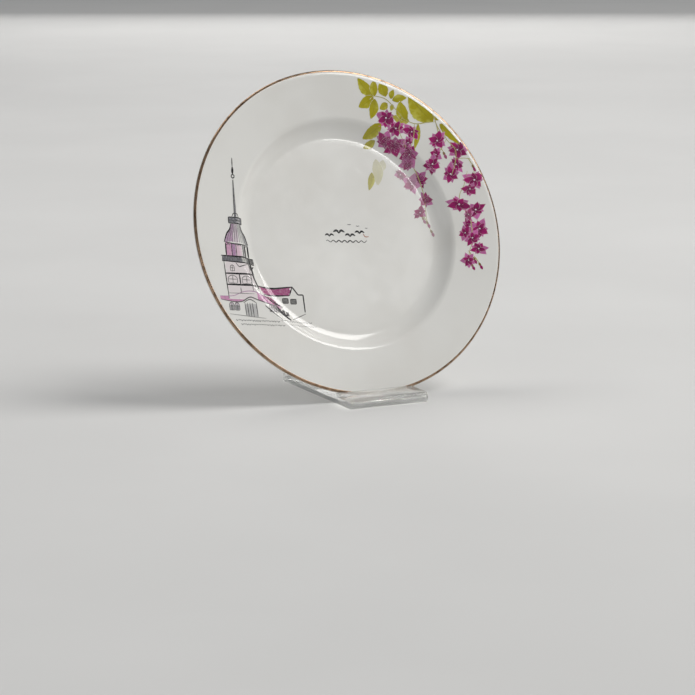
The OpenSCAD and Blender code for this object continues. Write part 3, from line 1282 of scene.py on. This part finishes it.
        self.window(wash, pen, x - 8, -31.5, 3.2, 4.6)
        pen.line(((x - 1, -44), (x - 0.8, -48)), 0.4, self.ink, 0.6)

    def window(self, wash: Artwork, pen: Artwork, x: float, y: float, width: float,
               height: float) -> None:
        """Draws a small window with a rounded head and crossed bars."""
        self.fill(wash, x, y, x + width, y + height, self.lilac, 0.45, 24.0)
        head = curve(((x, y), (x, y + height * 0.7), (x + width / 2, y + height),
                      (x + width, y + height * 0.7), (x + width, y)), 4)
        pen.line(head, 0.3, self.ink, 0.6, ends=0.9)
        pen.line(((x, y), (x + width, y)), 0.3, self.ink, 0.6)
        pen.line(((x + width / 2, y), (x + width / 2, y + height)), 0.3, self.ink, 0.6)
        pen.line(((x, y + height / 2), (x + width, y + height / 2)), 0.3, self.ink, 0.6)

    def draw_house(self, wash: Artwork, pen: Artwork) -> None:
        """Draws the low house round the tower's foot, with its waved roof and arcade."""
        upper = curve(((-109, -51), (-98, -50.5), (-89, -47), (-80, -46.5), (-72, -49.5),
                       (-56, -55)))
        lower = curve(((-109, -53.5), (-98, -55), (-91, -54.5), (-84, -51), (-77, -53),
                       (-56, -59)))
        wash.patch(upper, lower, self.rose, 1.0)
        pen.line(upper, 0.3, self.lilac, 0.9)
        pen.line(lower, 0.45, self.ink, 0.7)
        for left in (-102, -97.5, -68.5, -64.5):
            self.window(wash, pen, left, -61.5, 3.6, 6.0)
            self.fill(wash, left + 0.4, -61.2, left + 3.2, -57.5, self.grey, 0.8, 28.0)
        self.fill(wash, -89, -66, -79, -56, self.grey, 0.45)
        for at in (-89, -87, -84.8, -82.8, -79.5):
            pen.line(((at, -55.5), (at + 0.3, -66)), 0.4, self.ink, 0.65)
        pen.line(curve(((-90, -55.5), (-84.5, -52.8), (-79, -55.5))), 0.4, self.ink, 0.7)
        pen.line(((-103, -64.5), (-72, -67)), 0.3, self.ink, 0.45)
        pen.line(((-72, -57), (-58, -68)), 0.5, self.ink, 0.9)

    def draw_wing(self, wash: Artwork, pen: Artwork) -> None:
        """Draws the wing to the right, with its two dark roofs, its gable and its windows."""
        wash.patch(((-75, -42), (-71, -47.5)), ((-46, -41), (-48, -47)), self.magenta, 1.0)
        wash.patch(((-72, -48.5), (-64, -54.5)), ((-64, -49.5), (-56, -56)), self.magenta, 1.0)
        pen.line(((-76, -41.5), (-60, -42), (-45.5, -40.5)), 0.7, self.ink)
        pen.line(((-71, -47.8), (-48, -47.2)), 0.6, self.ink)
        pen.line(((-45.5, -40.5), (-48, -47.2)), 0.5, self.ink)
        pen.line(((-72, -48.5), (-55, -56.5)), 0.8, self.ink)
        pen.line(((-45.5, -40.5), (-41, -46.5), (-37, -46.5), (-36.5, -60)), 0.55, self.ink,
                 0.85, ends=0.9)
        pen.line(((-66, -55), (-50, -67)), 1.3, self.ink)
        pen.line(((-62, -54), (-56, -62), (-52, -63)), 0.8, self.ink)
        for left, bottom in ((-54, -53), (-47.5, -53.5)):
            self.fill(wash, left, bottom, left + 4.5, bottom + 3.6, self.ink, 0.85, 28.0)
            self.box(pen, left, bottom, left + 4.5, bottom + 3.6, 0.35)
        for step in range(3):
            left = -60 + 3.6 * step
            self.fill(wash, left, -61.5 - step, left + 2.6, -57.8 - step, self.ink, 1.0, 28.0)
        pen.line(((-48, -66), (-36, -61)), 0.35, self.ink, 0.6)

    def draw_ground(self, pen: Artwork) -> None:
        """Draws loose ground lines and a broken row of stones under the house."""
        rng = random.Random(12)
        for row, (x0, x1, y) in enumerate(((-98, -62, -68.5), (-94, -58, -71.5),
                                           (-60, -34, -67.5), (-52, -30, -70.5))):
            x = x0
            while x < x1:
                step = rng.uniform(1.4, 2.4)
                dip = rng.uniform(0.5, 1.3)
                pen.line(curve(((x, y), (x + step / 2, y - dip), (x + step, y)), 3), 0.3,
                         self.ink, 0.6 - 0.08 * row)
                x += step + rng.uniform(0.1, 0.7)


# ---------------------------------------------------------------- the small motif


@dataclass
class MotifTransfer:
    """A flight of small birds over a wave, in the middle of the well."""

    shape: PlateShape
    turn: float
    ink: Colour = (0.02, 0.02, 0.022)
    rust: Colour = (0.42, 0.13, 0.05)

    def build(self, palette: Palette) -> None:
        """Draws the birds, the wave and a small rust-coloured stroke.

        Args:
            palette: The shared node groups.
        """
        art = Artwork("bird_motif")
        for x, y, span in ((-11, -1, 7.5), (-3, 1.5, 9.5), (6, -1, 8.5), (14, 1.5, 8.0),
                           (6, 8, 2.8), (13, 7, 2.6), (20, 5.5, 2.4)):
            self.bird(art, x, y, span)
        wave = [(-14 + 0.7 * i, -4.6 + 0.8 * math.sin(0.95 * i)) for i in range(49)]
        art.line(wave, 0.9, self.ink, 0.95, ends=0.4)
        art.line(curve(((17, 1.5), (18.5, -0.8), (21.5, -0.6))), 0.7, self.rust, 0.9)
        art.fire(self.shape, self.turn,
                 FiredColour("Motif ink", Print.INK, 0.2, 0.05, 0.01).build(palette),
                 "motif_transfer")

    def bird(self, art: Artwork, x: float, y: float, span: float) -> None:
        """Draws one gliding bird as two bent strokes that meet."""
        for side in (-1, 1):
            art.line(curve(((x, y), (x + side * span * 0.2, y + span * 0.24),
                            (x + side * span * 0.5, y + span * 0.1))), span * 0.19, self.ink,
                     1.0, ends=0.3)


# ---------------------------------------------------------------- the stand


@dataclass
class AcrylicStand:
    """The two bent strips of clear sheet, with the soft edges that polishing leaves."""

    edge: float = 0.35 * MM
    cad_nodes: Sequence[str] = ("stand_base", "stand_back")

    def build(self) -> None:
        """Gives each strip its polished edges and its clear finish."""
        finish = ClearAcrylic().build()
        for name in self.cad_nodes:
            strip = self.polished_copy(name)
            strip.data.materials.clear()
            strip.data.materials.append(finish)
            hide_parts(name)
            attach(strip, "stand")
            LOG.info("%s: %d faces", strip.name, len(strip.data.polygons))

    def polished_copy(self, name: str) -> bpy.types.Object:
        """Copies a CAD strip and rounds its sharp edges.

        Args:
            name: The CAD node.

        Returns:
            The copy.
        """
        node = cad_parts[name]
        strip = node.copy()
        strip.data = node.data.copy()
        bpy.context.collection.objects.link(strip)
        strip.parent = None
        strip.matrix_world = node.matrix_world
        strip.name = f"clear_{name}"
        strip.data.name = strip.name
        for key in [k for k in strip.keys() if k.startswith("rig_")]:
            del strip[key]
        make_active(strip)
        bpy.ops.object.transform_apply(location=True, rotation=True, scale=True)
        bpy.ops.object.mode_set(mode="EDIT")
        bpy.ops.mesh.select_all(action="SELECT")
        bpy.ops.mesh.remove_doubles(threshold=1 * MICRON)
        bpy.ops.mesh.dissolve_limited(angle_limit=math.radians(0.5))
        bpy.ops.mesh.normals_make_consistent(inside=False)
        bpy.ops.object.mode_set(mode="OBJECT")
        bevel = strip.modifiers.new("Polished edges", "BEVEL")
        bevel.width = self.edge
        bevel.segments = 3
        bevel.limit_method = "ANGLE"
        bevel.angle_limit = math.radians(50)
        bpy.ops.object.modifier_apply(modifier=bevel.name)
        smooth(strip, 40.0)
        return strip


# ---------------------------------------------------------------- the studio


@dataclass(frozen=True)
class Softbox:
    """One soft light: where it hangs, its width and height, its watts and its colour."""

    name: str
    place: Place
    size: tuple[float, float]
    power: float
    colour: Colour = (1.0, 0.99, 0.97)

    def hang(self, aim: Place) -> None:
        """Hangs the light so that it faces a place."""
        data = bpy.data.lights.new(self.name, "AREA")
        data.shape = "RECTANGLE"
        data.size, data.size_y = self.size
        data.energy = self.power
        data.color = self.colour
        light = bpy.data.objects.new(self.name, data)
        bpy.context.scene.collection.objects.link(light)
        light.location = self.place
        toward = Vector(aim) - Vector(self.place)
        light.rotation_euler = toward.to_track_quat("-Z", "Y").to_euler()


@dataclass
class Studio:
    """A pale table, soft lights and the camera."""

    camera_place: Place = (-0.945, -1.933, 0.4497)
    camera_aim: Place = (0.4291, 0.8831, -0.1899)
    lens: float = 152.1
    table_side: float = 30.0
    table_pale: Colour = (0.69, 0.69, 0.685)
    table_dull: Colour = (0.66, 0.66, 0.655)
    table_roughness: float = 0.75
    plate_middle: Place = (0.0, 0.0, 0.11)
    softboxes: Sequence[Softbox] = (
        Softbox("Key softbox", (2.62, -0.82, 3.05), (2.1, 2.5), 107.0, (1.0, 0.985, 0.96)),
        Softbox("Front card", (1.508, -3.2, 1.951), (0.46, 0.42), 6.5),
        Softbox("Card veil", (1.508, -3.2, 1.951), (0.58, 0.52), 3.2),
        Softbox("Left fill", (-2.7, -2.1, 0.9), (1.8, 1.6), 6.5, (1.0, 0.99, 0.98)),
        Softbox("Back card", (1.55, 3.2, 0.62), (1.8, 0.7), 9.0, (1.0, 0.985, 0.96)),
        Softbox("Hair light", (-0.4, 1.6, 2.6), (2.0, 1.0), 20.0, (1.0, 0.98, 0.95)),
    )
    wall_colour: Colour = (0.97, 0.985, 1.0)
    wall_light: float = 0.28

    def build(self) -> None:
        """Sets up the camera first, then the table and the lights."""
        self.add_camera()
        self.add_table()
        for softbox in self.softboxes:
            softbox.hang(self.plate_middle)
        world = bpy.data.worlds.new("Studio walls")
        world.use_nodes = True
        backdrop = world.node_tree.nodes["Background"]
        backdrop.inputs[0].default_value = (*self.wall_colour, 1.0)
        backdrop.inputs[1].default_value = self.wall_light
        bpy.context.scene.world = world
        bpy.context.scene.view_settings.view_transform = "Standard"

    def add_camera(self) -> None:
        """Places the camera at its standing height and makes it the scene's."""
        data = bpy.data.cameras.new("Camera")
        data.lens = self.lens
        data.sensor_width = 36.0
        data.clip_end = 50.0
        camera = bpy.data.objects.new("Camera", data)
        bpy.context.scene.collection.objects.link(camera)
        camera.location = self.camera_place
        camera.rotation_euler = Vector(self.camera_aim).to_track_quat("-Z", "Y").to_euler()
        bpy.context.scene.camera = camera

    def add_table(self) -> None:
        """Lays the pale table under the stand."""
        deselect()
        bpy.ops.mesh.primitive_plane_add(size=self.table_side, location=(0, 0, 0))
        table = bpy.context.object
        table.name = "table"
        material, graph, shader = start_material("Pale matt paint", (0.7, 0.7, 0.69))
        place = graph.add("ShaderNodeTexCoord").outputs["Object"]
        cloud = graph.remap(graph.noise(place, 3.0, 3.0), 0.3, 0.7)
        graph.feed(shader.inputs["Base Color"],
                   graph.mix(cloud, self.table_dull, self.table_pale))
        shader.inputs["Roughness"].default_value = self.table_roughness
        table.data.materials.append(material)


def main() -> None:
    """Builds the studio, the plate, its transfers and its stand, in that order."""
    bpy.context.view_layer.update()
    Studio().build()
    shape = PlateShape()
    palette = Palette()
    picture_turn = math.radians(-5)
    Plate(shape).build(palette)
    BlossomTransfer(shape, 0.0).build(palette)
    TowerTransfer(shape, picture_turn).build(palette)
    MotifTransfer(shape, picture_turn).build(palette)
    AcrylicStand().build()
    deselect()


if __name__ == "__main__":
    main()
